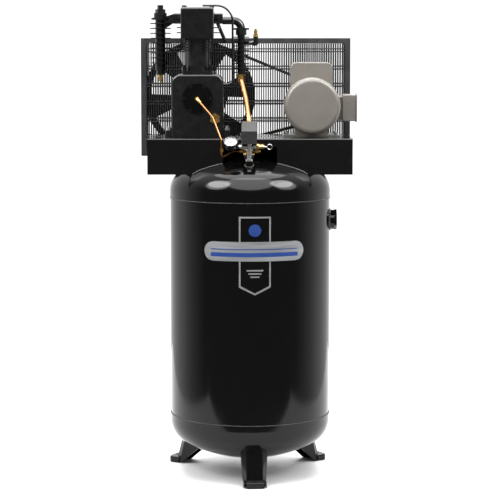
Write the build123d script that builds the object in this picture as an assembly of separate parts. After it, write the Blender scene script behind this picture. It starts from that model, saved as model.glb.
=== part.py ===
"""Vertical tank air compressor, in millimetres: X right, Y back, Z up, floor at z = 0 under the tank's axis."""

import os
from math import asin, cos, pi, radians, sin, sqrt

from build123d import *

# Receiver
TANK_DIAMETER = 609.6
TANK_WALL = 5.0
TANK_LENGTH = 877.5  # between the heads' tangent lines
TANGENT_LOW = 204.5
HEAD_CROWN = 550.0
HEAD_KNUCKLE = 100.0
HEAD_SKIRT = 23.0
HEAD_PROUD = 1.8
TANK_TURN = 3.4
LEG_GAUGE = 4.5
LEG_TIP = 340.0
PAD_HALF = 44.0
PAD_HEIGHT = 23.0
OUTLET_RADIUS = 38.4
OUTLET_BORE = 12.7
OUTLET_HEIGHT = 971.0

# Deck, belt guard
DECK_WIDTH = 767.0
DECK_DEPTH = 342.0
DECK_PLATE = 5.0
DECK_LIFT = 57.0  # deck's top above the dome's top
APRON_HEIGHT = 134.5
APRON_WINDOW = 202.0
WINDOW_DROP = 32.0
GUARD_LEFT = -426.0
GUARD_RIGHT = 391.6
GUARD_DEPTH = 126.0
GUARD_RISE = 374.0
GUARD_DROP = 86.0
GUARD_BAND = 21.0
GUARD_SHEET = 2.0
WIRE = 2.8
WIRE_PITCH = 9.0

# Pump
PUMP_X = -198.0
CRANK_RISE = 147.5
CRANKCASE_HALF = 97.5
CRANKCASE_FRONT = -95.0
CRANKCASE_BACK = 95.0
CRANKCASE_HEIGHT = 238.5
CASTING_WALL = 9.0
FRONT_CYLINDER_Y = -45.0
REAR_CYLINDER_Y = 50.0
BORE_RADIUS = 37.0
BARREL_RADIUS = 49.0
BARREL_HEIGHT = 134.0
REAR_BORE_RADIUS = 36.0
THROW = 30.0
JOURNAL_RADIUS = 20.0
CRANKPIN_RADIUS = 15.0
PUMP_FOOT_REACH = 109.0
PUMP_FOOT_Y = 70.0
HEAD_BLOCK_HEIGHT = 110.0
FILTER_HALF = 61.8
FLYWHEEL_RADIUS = 217.7
FLYWHEEL_WIDTH = 42.0
FLYWHEEL_Y = 245.0
SPOKES = 6
COOLER_LEFT_X = -343.0
COOLER_RIGHT_X = -34.0
COOLER_Y = 50.0

# Motor
MOTOR_X = 234.5
SHAFT_RISE = 119.5
MOTOR_RADIUS = 95.0
FAN_COVER_RADIUS = 106.0
MOTOR_FRONT = -120.0
MOTOR_SPLIT = -30.0
MOTOR_BACK = 140.0
MOTOR_SHAFT_RADIUS = 14.3
FOOT_SPAN_X = 190.5
FOOT_SPAN_Y = 139.7
FOOT_CENTRE_Y = 62.0
PULLEY_RADIUS = 80.0
CAP_BOX_HALF = 80.5
CAP_BOX_RISE = 162.0

# Belts
BELT_WIDTH = 16.0
BELT_THICKNESS = 11.0
BELT_SPACING = 19.0
BELT_CLEARANCE = 0.35

# Controls
NIPPLE_X = -3.0
NIPPLE_Y = -205.0
GAUGE_RADIUS = 26.6
GAUGE_TILT = 50.0
CHECK_X = -4.0
CHECK_Y = -135.0

# Seats and bores
PUMP_FOOT_HEIGHT = 26.5
MOTOR_FOOT = 6.0
GUARD_BOLTS_X = (-340.0, 340.0)
COVER_RADIUS = 57.0
COVER_SPIGOT = 45.0
BEARING_RADIUS = 36.0
MOTOR_BEARING = 28.0
FILTER_FRONT = -122.0
FILTER_BACK = -60.0
KNOCKOUT = 11.0

# Clearances
RUNNING = 0.05
GAP = 0.5

TANGENT_HIGH = TANGENT_LOW + TANK_LENGTH
HEAD_RADIUS = TANK_DIAMETER / 2 + HEAD_PROUD
KNUCKLE_OFFSET = HEAD_RADIUS - HEAD_KNUCKLE
CROWN_DROP = sqrt((HEAD_CROWN - HEAD_KNUCKLE) ** 2 - KNUCKLE_OFFSET**2)
HEAD_DEPTH = HEAD_CROWN - CROWN_DROP
DOME_TOP = TANGENT_HIGH + HEAD_DEPTH
DECK_TOP = DOME_TOP + DECK_LIFT
CRANK_Z = DECK_TOP + CRANK_RISE
CASE_TOP = DECK_TOP + CRANKCASE_HEIGHT
BARREL_TOP = CASE_TOP + BARREL_HEIGHT
PLATE_TOP = BARREL_TOP + 6.0
HEAD_TOP = PLATE_TOP + HEAD_BLOCK_HEIGHT
SHAFT_Z = DECK_TOP + SHAFT_RISE
DECK_FRONT = -DECK_DEPTH / 2
DECK_BACK = DECK_DEPTH / 2
GUARD_FRONT = DECK_BACK + 9.0
GUARD_BACK = GUARD_FRONT + GUARD_DEPTH
FILTER_CYLINDER_FRONT = FRONT_CYLINDER_Y - 46.6
PORT_Z = HEAD_TOP - 40.0
BELT_YS = (FLYWHEEL_Y - BELT_SPACING / 2, FLYWHEEL_Y + BELT_SPACING / 2)


def rod(start, end, radius):
    """A round bar between two points."""
    start, end = Vector(*start), Vector(*end)
    plane = Plane(origin=start, z_dir=end - start)
    return plane * Cylinder(radius, (end - start).length, align=(Align.CENTER, Align.CENTER, Align.MIN))


def sleeve(start, end, radius, bore):
    """A round bar with a hole along it."""
    return rod(start, end, radius) - rod(start, end, bore)


def hexagon(start, end, across):
    """A hexagonal bar between two points, measured across its flats."""
    start, end = Vector(*start), Vector(*end)
    plane = Plane(origin=start, z_dir=end - start)
    return extrude(plane * RegularPolygon(across / sqrt(3), 6), amount=(end - start).length)


def block(low, high, radius=0.0, along=Axis.Z):
    """A box between two corners, its edges along one axis rounded."""
    size = [high[i] - low[i] for i in range(3)]
    middle = [(high[i] + low[i]) / 2 for i in range(3)]
    body = Pos(*middle) * Box(*size)
    across = [size[i] for i in range(3) if abs(tuple(along.direction)[i]) < 0.5]
    radius = min(radius, 0.45 * min(across))
    return fillet(body.edges().filter_by(along), radius) if radius else body


def pipe(points, radius, bends):
    """A bent pipe: straight runs joined by tangent arcs."""
    path = FilletPolyline(*points, radius=bends)
    start = Plane(origin=path @ 0, z_dir=path % 0)
    return sweep(start * Circle(radius), path=path)


def turned(profile):
    """A solid of revolution about Z from (radius, height) corners."""
    corners = [Vector(r, 0, z) for r, z in profile]
    return revolve(make_face(Polyline(*corners, close=True)), Axis.Z)


def save(name, *solids):
    """Writes one sub-part, a single solid or a group of separate ones."""
    pieces = [piece for solid in solids for piece in solid.solids()]
    shape = pieces[0] if len(pieces) == 1 else Compound(children=pieces)
    export_step(shape, os.path.join("parts", name + ".step"))


def around(count, radius, start=0.0):
    """Points spaced evenly round a circle."""
    turns = [radians(start + 360.0 * i / count) for i in range(count)]
    return [(radius * cos(turn), radius * sin(turn)) for turn in turns]


def dome_height(x, y):
    """Outer height of the top head over a point."""
    return TANGENT_HIGH - CROWN_DROP + sqrt(HEAD_CROWN**2 - x**2 - y**2)


def head_outline(tangent, up, inset, skirt):
    """Half outline of a dished head, from its skirt to its crown."""
    knuckle, crown = HEAD_KNUCKLE - inset, HEAD_CROWN - inset
    lean = asin(KNUCKLE_OFFSET / (HEAD_CROWN - HEAD_KNUCKLE))

    def on_knuckle(angle):
        return Vector(KNUCKLE_OFFSET + knuckle * sin(angle), 0, tangent + up * knuckle * cos(angle))

    def on_crown(angle):
        return Vector(crown * sin(angle), 0, tangent + up * (crown * cos(angle) - CROWN_DROP))

    foot = Vector(HEAD_RADIUS - inset, 0, tangent - up * skirt)
    side = Line(foot, on_knuckle(pi / 2))
    turn = ThreePointArc(on_knuckle(pi / 2), on_knuckle((pi / 2 + lean) / 2), on_knuckle(lean))
    cap = ThreePointArc(on_crown(lean), on_crown(lean / 2), on_crown(0))
    return [side, turn, cap]


def head_solid(tangent, up):
    """The space inside a head's outer face, used to cut what is welded to it."""
    outer = head_outline(tangent, up, 0.0, HEAD_SKIRT)
    rim, centre = outer[0] @ 0, Vector(0, 0, tangent - up * HEAD_SKIRT)
    closing = [Line(outer[2] @ 1, centre), Line(centre, rim)]
    return revolve(make_face(outer + closing), Axis.Z)


def head_shell(tangent, up):
    """A dished head of even wall, with its skirt."""
    outer = head_outline(tangent, up, 0.0, HEAD_SKIRT)
    inner = head_outline(tangent, up, TANK_WALL, HEAD_SKIRT)
    closing = [Line(outer[2] @ 1, inner[2] @ 1), Line(outer[0] @ 0, inner[0] @ 0)]
    return revolve(make_face(outer + inner + closing), Axis.Z)


def leg():
    """One pressed channel leg, pointing along +X, with its tray-shaped pad."""
    top, bend = 160.0, PAD_HEIGHT + 12.0
    slope = 0.27

    def section(height, inset):
        web = LEG_TIP - 41.0 - slope * (height - bend) - inset
        half, flare = 31.0 - inset, 43.0 + 0.06 * height - inset
        inner = web - 110.0
        return make_face(
            Polyline((web, -half, height), (web, half, height), (web - 20, flare, height), (inner, flare, height),
                     (inner, -flare, height), (web - 20, -flare, height), close=True)
        )

    outer = loft([section(0.0, 0.0), section(top, 0.0)], ruled=True)
    inner = loft([section(0.0, LEG_GAUGE), section(top, LEG_GAUGE)], ruled=True)
    toe_line = Polyline((LEG_TIP - 58, -100, -1), (LEG_TIP - 150, -100, 78), (0, -100, 78), (0, -100, -1), close=True)
    toe = make_face(toe_line)
    channel = outer - inner - extrude(toe, amount=200, dir=(0, 1, 0))
    channel -= block((0, -100, 77), (LEG_TIP - 150, 100, 170))
    low = (LEG_TIP - 48, -PAD_HALF, 0)
    high = (LEG_TIP, PAD_HALF, PAD_HEIGHT)
    tray = block(low, high)
    tray = fillet(tray.edges().filter_by(Axis.Z).sort_by(Axis.X)[-2:], 24)
    tray = fillet(tray.faces().sort_by(Axis.Z)[-1].edges().sort_by(Axis.X)[1:], 5)
    hollow_low = (LEG_TIP - 49, -PAD_HALF + LEG_GAUGE, -1)
    hollow_high = (LEG_TIP - LEG_GAUGE, PAD_HALF - LEG_GAUGE, PAD_HEIGHT - LEG_GAUGE)
    tray -= block(hollow_low, hollow_high)
    tray -= inner & block((0, -200, 0), (400, 200, PAD_HEIGHT - LEG_GAUGE))
    bush = rod((LEG_TIP - 20, 0, 0), (LEG_TIP - 20, 0, PAD_HEIGHT - 1), 13.0)
    hole = rod((LEG_TIP - 20, 0, -1), (LEG_TIP - 20, 0, PAD_HEIGHT + 1), 7.0)
    return channel + tray + bush - hole - head_solid(TANGENT_LOW, -1)


def tank():
    """Shell, heads, legs, couplings and the drain."""
    radius = TANK_DIAMETER / 2
    foot, top = TANGENT_LOW + HEAD_SKIRT, TANGENT_HIGH - HEAD_SKIRT
    port_in, port_mid, port_out = radius - 14, radius + 17.0, radius + 27.0
    port = rod((port_in, 0, OUTLET_HEIGHT), (port_mid, 0, OUTLET_HEIGHT), OUTLET_RADIUS)
    save("tank_shell", sleeve((0, 0, foot), (0, 0, top), radius, radius - TANK_WALL) - port)

    dome = dome_height(NIPPLE_X, NIPPLE_Y)
    check = dome_height(CHECK_X, CHECK_Y)
    nipple_boss = rod((NIPPLE_X, NIPPLE_Y, dome - 16), (NIPPLE_X, NIPPLE_Y, dome + 15), 15.0)
    check_boss = rod((CHECK_X, CHECK_Y, check - 12), (CHECK_X, CHECK_Y, check + 12), 19.0)
    save("top_head", head_shell(TANGENT_HIGH, 1) - nipple_boss - check_boss)

    low = TANGENT_LOW - HEAD_DEPTH
    drain_boss = rod((0, 0, low - 9), (0, 0, low + 9), 15.0)
    save("bottom_head", head_shell(TANGENT_LOW, -1) - drain_boss)

    legs = [Rot(0, 0, TANK_TURN + turn) * leg() for turn in (-90, 30, 150)]
    save("tank_legs", *legs)

    bushing_bore = rod((port_in, 0, OUTLET_HEIGHT), (port_out + 1, 0, OUTLET_HEIGHT), OUTLET_BORE)
    screw = rod((port_in, 0, OUTLET_HEIGHT), (port_mid, 0, OUTLET_HEIGHT), OUTLET_RADIUS - 10)
    flats = rod((port_mid, 0, OUTLET_HEIGHT), (port_out, 0, OUTLET_HEIGHT), OUTLET_RADIUS)
    flats &= hexagon((port_mid, 0, OUTLET_HEIGHT), (port_out, 0, OUTLET_HEIGHT), 2 * OUTLET_RADIUS - 8)
    bores = rod((NIPPLE_X, NIPPLE_Y, dome - 20), (NIPPLE_X, NIPPLE_Y, dome + 16), 8.4)
    check_bore = rod((CHECK_X, CHECK_Y, check - 20), (CHECK_X, CHECK_Y, check + 16), 11.0)
    drain_bore = rod((0, 0, low - 10), (0, 0, low + 10), 7.0)
    save("tank_couplings", port - screw, (screw + flats) - bushing_bore, nipple_boss - bores,
         check_boss - check_bore, drain_boss - drain_bore)

    cock_z = low - 20
    cock = rod((0, 0, low + 8), (0, 0, low - 9), 7.0) + hexagon((0, 0, low - 9), (0, 0, low - 31), 18)
    cock += rod((0, 0, cock_z), (0, -26, cock_z), 5.0)
    cock += rod((0, 0, cock_z), (0, 13, cock_z), 6.5)
    cock -= rod((0, 4, cock_z), (0, 14, cock_z), 3.0 + RUNNING)
    save("drain_valve", cock)
    key = rod((0, 4.5, cock_z), (0, 20, cock_z), 3.0) + block((-13, 16, cock_z - 2.5), (13, 20, cock_z + 2.5), 2)
    save("drain_handle", key)

    body_low, body_high = check + 12, DECK_TOP - DECK_PLATE - 16
    body = rod((CHECK_X, CHECK_Y, check - 8), (CHECK_X, CHECK_Y, body_low), 11.0)
    body += hexagon((CHECK_X, CHECK_Y, body_low), (CHECK_X, CHECK_Y, body_high), 36)
    side_z = (body_low + body_high) / 2 - 8
    body += rod((CHECK_X, CHECK_Y, side_z), (CHECK_X + 44, CHECK_Y, side_z), 7.0)
    body += hexagon((CHECK_X + 26, CHECK_Y, side_z), (CHECK_X + 36, CHECK_Y, side_z), 18)
    body -= rod((CHECK_X, CHECK_Y, body_high - 20), (CHECK_X, CHECK_Y, body_high + 1), 9.5)
    body -= rod((CHECK_X, CHECK_Y, check - 9), (CHECK_X, CHECK_Y, body_high - 24), 6.0)
    save("check_valve", body)


def deck():
    """Folded plate whose aprons are cut to the dome, and the bolts that hold what stands on it."""
    half, low = DECK_WIDTH / 2, DECK_TOP - APRON_HEIGHT
    body = block((-half, DECK_FRONT, low), (half, DECK_BACK, DECK_TOP))
    folds = body.faces().sort_by(Axis.Z)[-1].edges().filter_by(Axis.X)
    body = fillet(folds, DECK_PLATE)
    body -= block((-half - 1, DECK_FRONT + DECK_PLATE, low - 1), (half + 1, DECK_BACK - DECK_PLATE, DECK_TOP - DECK_PLATE))
    window = APRON_WINDOW / 2
    body -= block((-window, DECK_FRONT - 1, low - 1), (window, DECK_FRONT + DECK_PLATE + 1, DECK_TOP - WINDOW_DROP))
    body -= head_solid(TANGENT_HIGH, 1)
    body -= rod((CHECK_X, CHECK_Y, DECK_TOP - 20), (CHECK_X, CHECK_Y, DECK_TOP + 1), 15.0)
    bolts, holes = [], []
    for x in (PUMP_X - PUMP_FOOT_REACH, PUMP_X + PUMP_FOOT_REACH):
        for y in (-PUMP_FOOT_Y, PUMP_FOOT_Y):
            holes.append((x, y, 6.0, PUMP_FOOT_HEIGHT))
    for x in (MOTOR_X - FOOT_SPAN_X / 2, MOTOR_X + FOOT_SPAN_X / 2):
        for y in (FOOT_CENTRE_Y - FOOT_SPAN_Y / 2, FOOT_CENTRE_Y + FOOT_SPAN_Y / 2):
            holes.append((x, y, 5.0, MOTOR_FOOT))
    for x, y, radius, height in holes:
        seat, under = DECK_TOP + height, DECK_TOP - DECK_PLATE
        body -= rod((x, y, under - 1), (x, y, DECK_TOP + 1), radius)
        bolt = rod((x, y, under - 14), (x, y, seat), radius)
        bolt += rod((x, y, seat), (x, y, seat + 2), radius * 1.8)
        bolt += hexagon((x, y, seat + 2), (x, y, seat + 2 + radius * 1.3), radius * 3.1)
        bolt += hexagon((x, y, under - 9), (x, y, under), radius * 3.1)
        bolts.append(bolt)
    for x in GUARD_BOLTS_X:
        z = low + 60
        body -= rod((x, DECK_BACK - DECK_PLATE - 1, z), (x, DECK_BACK + 1, z), 4.0)
        bolt = rod((x, DECK_BACK - DECK_PLATE - 8, z), (x, GUARD_FRONT + GUARD_SHEET, z), 4.0)
        bolt += hexagon((x, GUARD_FRONT + GUARD_SHEET, z), (x, GUARD_FRONT + GUARD_SHEET + 6, z), 13)
        bolt += hexagon((x, DECK_BACK - DECK_PLATE - 6, z), (x, DECK_BACK - DECK_PLATE, z), 13)
        bolts.append(bolt)
    save("deck", body)
    save("deck_bolts", *bolts)


def grille(y, windows):
    """A flat wire panel: upright wires with pairs of cross wires, left open at the shaft windows."""
    low, high = DECK_TOP - GUARD_DROP + GUARD_BAND + GAP, DECK_TOP + GUARD_RISE - GUARD_BAND - GAP
    left, right = GUARD_LEFT + GUARD_BAND + GAP, GUARD_RIGHT - GUARD_BAND - GAP
    columns = int((right - left - WIRE) / WIRE_PITCH)
    pitch = (right - left - WIRE) / columns
    rows = 6
    lift = (high - low - WIRE) / rows
    holes = []
    for column in range(columns):
        x0, x1 = left + WIRE + column * pitch, left + (column + 1) * pitch
        for row in range(rows):
            z0, z1 = low + WIRE + row * lift, low + (row + 1) * lift
            free = [z0, z1]
            for wx, wz, half in windows:
                if x1 > wx - half and x0 < wx + half and z1 > wz - half and z0 < wz + half:
                    free = []
            if free:
                holes.append(Pos((x0 + x1) / 2, (z0 + z1) / 2) * Rectangle(x1 - x0, z1 - z0))
    for wx, wz, half in windows:
        holes.append(Pos(wx, wz) * Rectangle(2 * half - 2 * pitch, 2 * half - 2 * WIRE))
    outer = Pos((left + right) / 2, (low + high) / 2) * Rectangle(right - left, high - low)
    inner = [hole.face().outer_wire() for hole in holes]
    panel = Face(outer.face().outer_wire(), inner)
    plane = Plane(origin=(0, y, 0), x_dir=(1, 0, 0), z_dir=(0, -1, 0))
    return extrude(plane * panel, amount=WIRE)


def guard():
    """Belt guard: two framed wire panels joined by a sheet rim, braced to the pump."""
    low, high = DECK_TOP - GUARD_DROP, DECK_TOP + GUARD_RISE
    frame = block((GUARD_LEFT, GUARD_FRONT, low), (GUARD_RIGHT, GUARD_BACK, high), 3, Axis.Y)
    frame -= block((GUARD_LEFT + GUARD_SHEET, GUARD_FRONT + GUARD_SHEET, low + GUARD_SHEET),
                   (GUARD_RIGHT - GUARD_SHEET, GUARD_BACK - GUARD_SHEET, high - GUARD_SHEET))
    frame -= block((GUARD_LEFT + GUARD_BAND, GUARD_FRONT - 1, low + GUARD_BAND),
                   (GUARD_RIGHT - GUARD_BAND, GUARD_BACK + 1, high - GUARD_BAND), 6, Axis.Y)
    for x in GUARD_BOLTS_X:
        tab_low, z = low + GUARD_BAND - 1, DECK_TOP - APRON_HEIGHT + 60
        frame += block((x - 11, GUARD_FRONT, tab_low), (x + 11, GUARD_FRONT + GUARD_SHEET, z + 12))
        frame += sleeve((x, GUARD_FRONT, z), (x, DECK_BACK, z), 9, 4.0)
        frame -= rod((x, GUARD_FRONT - 1, z), (x, GUARD_FRONT + GUARD_SHEET + 1, z), 4.0)
    head_back = REAR_CYLINDER_Y + 46.5
    brace = rod((PUMP_X + 56, head_back - 8, HEAD_TOP - 16), (PUMP_X + 101, GUARD_FRONT + 1, high - 12), 7)
    frame += brace - block((PUMP_X, head_back - 40, low), (PUMP_X + 160, head_back, high + 200))
    windows = [(PUMP_X, CRANK_Z, 54.0), (MOTOR_X, SHAFT_Z, 36.0)]
    front = grille(GUARD_FRONT + GUARD_SHEET + WIRE + 0.4, windows)
    for x in GUARD_BOLTS_X:
        z = DECK_TOP - APRON_HEIGHT + 60
        front -= block((x - 13, GUARD_FRONT, low), (x + 13, GUARD_FRONT + 20, z + 14))
    rear = grille(GUARD_BACK - GUARD_SHEET - 0.4, [])
    save("guard_frame", frame)
    save("guard_front_grille", front)
    save("guard_rear_grille", rear)


def crankcase():
    """Cast crankcase with its bearing covers, bearings and oil fittings."""
    left, right = PUMP_X - CRANKCASE_HALF, PUMP_X + CRANKCASE_HALF
    body = block((left, CRANKCASE_FRONT, DECK_TOP), (right, CRANKCASE_BACK, CASE_TOP))
    shoulder = body.faces().sort_by(Axis.Z)[-1].edges().filter_by(Axis.Y)
    body = fillet(shoulder, 34)
    body = fillet(body.faces().sort_by(Axis.Y)[0].edges().filter_by(lambda e: e.center().Z > DECK_TOP + 5), 8)
    for x in (PUMP_X - PUMP_FOOT_REACH, PUMP_X + PUMP_FOOT_REACH):
        for y in (-PUMP_FOOT_Y, PUMP_FOOT_Y):
            lug = block((x - 12.5, y - 14, DECK_TOP), (x + 12.5, y + 14, DECK_TOP + PUMP_FOOT_HEIGHT), 6)
            inward = 14.0 if x < PUMP_X else -14.0
            reach = sorted((x, x + inward))
            lug += block((reach[0], y - 14, DECK_TOP), (reach[1], y + 14, DECK_TOP + PUMP_FOOT_HEIGHT))
            body += lug
            body -= rod((x, y, DECK_TOP - 1), (x, y, DECK_TOP + PUMP_FOOT_HEIGHT + 1), 6.0)
    wall = CASTING_WALL
    body -= block((left + wall, CRANKCASE_FRONT + wall, DECK_TOP + wall), (right - wall, CRANKCASE_BACK - wall, CASE_TOP - wall), 20, Axis.Y)
    body -= rod((PUMP_X, CRANKCASE_FRONT - 1, CRANK_Z), (PUMP_X, CRANKCASE_BACK + 1, CRANK_Z), COVER_SPIGOT)
    for y, bore in ((FRONT_CYLINDER_Y, BORE_RADIUS), (REAR_CYLINDER_Y, REAR_BORE_RADIUS)):
        body -= rod((PUMP_X, y, CASE_TOP - wall - 30), (PUMP_X, y, CASE_TOP + 1), bore + 4)
    glass = (PUMP_X + 66, CRANK_Z - 76)
    drain = (PUMP_X - 5, CRANK_Z - 111)
    for (x, z), radius in ((glass, 13.0), (drain, 9.0)):
        body -= rod((x, CRANKCASE_FRONT - 1, z), (x, CRANKCASE_FRONT + wall + 1, z), radius)
    save("crankcase", body)

    front, x, z = CRANKCASE_FRONT, PUMP_X, CRANK_Z
    window = rod((glass[0], front + wall, glass[1]), (glass[0], front, glass[1]), 13.0)
    window += hexagon((glass[0], front, glass[1]), (glass[0], front - 10, glass[1]), 35)
    window -= rod((glass[0], front + wall + 1, glass[1]), (glass[0], front - 5, glass[1]), 9.0)
    window -= rod((glass[0], front - 8, glass[1]), (glass[0], front - 11, glass[1]), 11.0)
    plug = rod((drain[0], front + wall, drain[1]), (drain[0], front, drain[1]), 9.0)
    plug += rod((drain[0], front, drain[1]), (drain[0], front - 26, drain[1]), 10.5)
    plug += hexagon((drain[0], front - 26, drain[1]), (drain[0], front - 38, drain[1]), 25)
    save("oil_fittings", window, plug)

    seat = BEARING_RADIUS
    cover = sleeve((x, front, z), (x, front - 12, z), COVER_RADIUS, JOURNAL_RADIUS + 6)
    cover += rod((x, front - 10, z), (x, front - 18, z), COVER_RADIUS - 14)
    cover += rod((x, front - 16, z), (x, front - 34, z), 25)
    cover += block((x - 3, front - 16, z), (x + 3, front - 10, z + COVER_RADIUS - 4))
    cover += rod((x, front, z), (x, front + 20, z), COVER_SPIGOT)
    cover -= rod((x, front - 2, z), (x, front + 21, z), seat)
    cover -= rod((x, front - 40, z), (x, front, z), 6.0)
    for dx, dz in around(6, COVER_RADIUS - 7):
        cover -= rod((x + dx, front - 13, z + dz), (x + dx, front + 1, z + dz), 4.0)
    save("front_bearing_cover", cover)
    back = CRANKCASE_BACK
    rear = rod((x, back, z), (x, back + 12, z), COVER_RADIUS) + rod((x, back + 10, z), (x, back + 40, z), 33)
    rear += rod((x, back, z), (x, back - 20, z), COVER_SPIGOT)
    rear -= rod((x, back + 2, z), (x, back - 21, z), seat)
    rear -= rod((x, back, z), (x, back + 41, z), JOURNAL_RADIUS + 1)
    for dx, dz in around(6, COVER_RADIUS - 7):
        rear -= rod((x + dx, back - 1, z + dz), (x + dx, back + 13, z + dz), 4.0)
    save("rear_bearing_cover", rear)
    bore = JOURNAL_RADIUS + RUNNING
    save("crank_bearings", sleeve((x, front, z), (x, front + 18, z), seat, bore),
         sleeve((x, back, z), (x, back - 18, z), seat, bore))


def crank():
    """Crankshaft, rods and pistons parked at the top, and the flywheel."""
    x, z, front, back = PUMP_X, CRANK_Z, CRANKCASE_FRONT, CRANKCASE_BACK
    shaft = rod((x, front + 2, z), (x, front + 26, z), JOURNAL_RADIUS)
    shaft += rod((x, back - 26, z), (x, FLYWHEEL_Y + FLYWHEEL_WIDTH / 2 - 6, z), JOURNAL_RADIUS)
    web = 9.0
    throws = ((FRONT_CYLINDER_Y, 1), (REAR_CYLINDER_Y, -1))
    for y, side in throws:
        for sign in (-1, 1):
            inner, outer = y + sign * 11, y + sign * (11 + web)
            low, high = min(inner, outer), max(inner, outer)
            cheek = block((x - 22, low, z - 46), (x + 22, high, z + 46), 14, Axis.Y)
            shaft += cheek
        shaft += rod((x, y - 12, z + side * THROW), (x, y + 12, z + side * THROW), CRANKPIN_RADIUS)
    shaft += rod((x, FRONT_CYLINDER_Y + 18, z), (x, REAR_CYLINDER_Y - 18, z), JOURNAL_RADIUS - 4)
    shaft += rod((x, front + 20, z), (x, FRONT_CYLINDER_Y - 18, z), JOURNAL_RADIUS - 2)
    shaft += rod((x, REAR_CYLINDER_Y + 18, z), (x, back - 20, z), JOURNAL_RADIUS - 2)
    save("crankshaft", shaft)

    swept = z + 46.0 + 7.0
    rods, pistons = [], []
    for y, bore in ((FRONT_CYLINDER_Y, BORE_RADIUS), (REAR_CYLINDER_Y, REAR_BORE_RADIUS)):
        crown = BARREL_TOP - 3
        pin_z = crown - 34
        link = rod((x, y - 9, pin_z), (x, y + 9, pin_z), 15) + block((x - 8, y - 6, swept), (x + 8, y + 6, pin_z))
        link += block((x - 20, y - 9, swept), (x + 20, y + 9, swept + 14), 5, Axis.Y)
        link -= rod((x, y - 10, pin_z), (x, y + 10, pin_z), 9)
        rods.append(link)
        piston = rod((x, y, crown - 62), (x, y, crown), bore - RUNNING)
        piston -= rod((x, y, crown - 63), (x, y, crown - 10), bore - 6)
        for drop in (6, 12, 18):
            piston -= sleeve((x, y, crown - drop), (x, y, crown - drop + 2), bore + 1, bore - 3)
        piston += sleeve((x, y - bore + 5, pin_z), (x, y - 10, pin_z), 13, 8.9) - rod((x, y, crown - 9), (x, y, crown + 9), 90)
        piston += sleeve((x, y + 10, pin_z), (x, y + bore - 5, pin_z), 13, 8.9) - rod((x, y, crown - 9), (x, y, crown + 9), 90)
        piston += rod((x, y - bore + 5, pin_z), (x, y + bore - 5, pin_z), 8.9)
        pistons.append(piston)
    save("connecting_rods", *rods)
    save("pistons", *pistons)

    low, high = FLYWHEEL_Y - FLYWHEEL_WIDTH / 2, FLYWHEEL_Y + FLYWHEEL_WIDTH / 2
    wheel = rod((x, low, z), (x, high, z), FLYWHEEL_RADIUS)
    rim = FLYWHEEL_RADIUS - 24
    for y0, y1 in ((low - 1, FLYWHEEL_Y - 7), (FLYWHEEL_Y + 7, high + 1)):
        wheel -= sleeve((x, y0, z), (x, y1, z), rim, 42)
    for spoke in range(SPOKES):
        start, end = radians(26 + 360 / SPOKES * spoke), radians(58 + 360 / SPOKES * spoke)
        centre = (start + end) / 2
        corners = [(112, start), (112, end), (rim - 2, end), (rim + 2, centre), (rim - 2, start)]
        points = [(x + r * cos(a), FLYWHEEL_Y - 10, z + r * sin(a)) for r, a in corners]
        gap = extrude(make_face(Polyline(*points, close=True)), amount=20, dir=(0, 1, 0))
        wheel -= fillet(gap.edges().filter_by(Axis.Y), 5)
    for y in BELT_YS:
        groove = BELT_WIDTH / 2 + BELT_CLEARANCE
        wheel -= sleeve((x, y - groove, z), (x, y + groove, z), FLYWHEEL_RADIUS + 1, FLYWHEEL_RADIUS - BELT_THICKNESS - 1.5)
    end = FLYWHEEL_Y + FLYWHEEL_WIDTH / 2 - 6
    wheel -= rod((x, low - 1, z), (x, end, z), JOURNAL_RADIUS)
    wheel -= rod((x, end - 1, z), (x, high + 1, z), 7.0)
    bolt = rod((x, end, z), (x, high, z), 7.0) + rod((x, high, z), (x, high + 4, z), 19)
    bolt += hexagon((x, high + 4, z), (x, high + 14, z), 24)
    save("flywheel", wheel, bolt)


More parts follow.
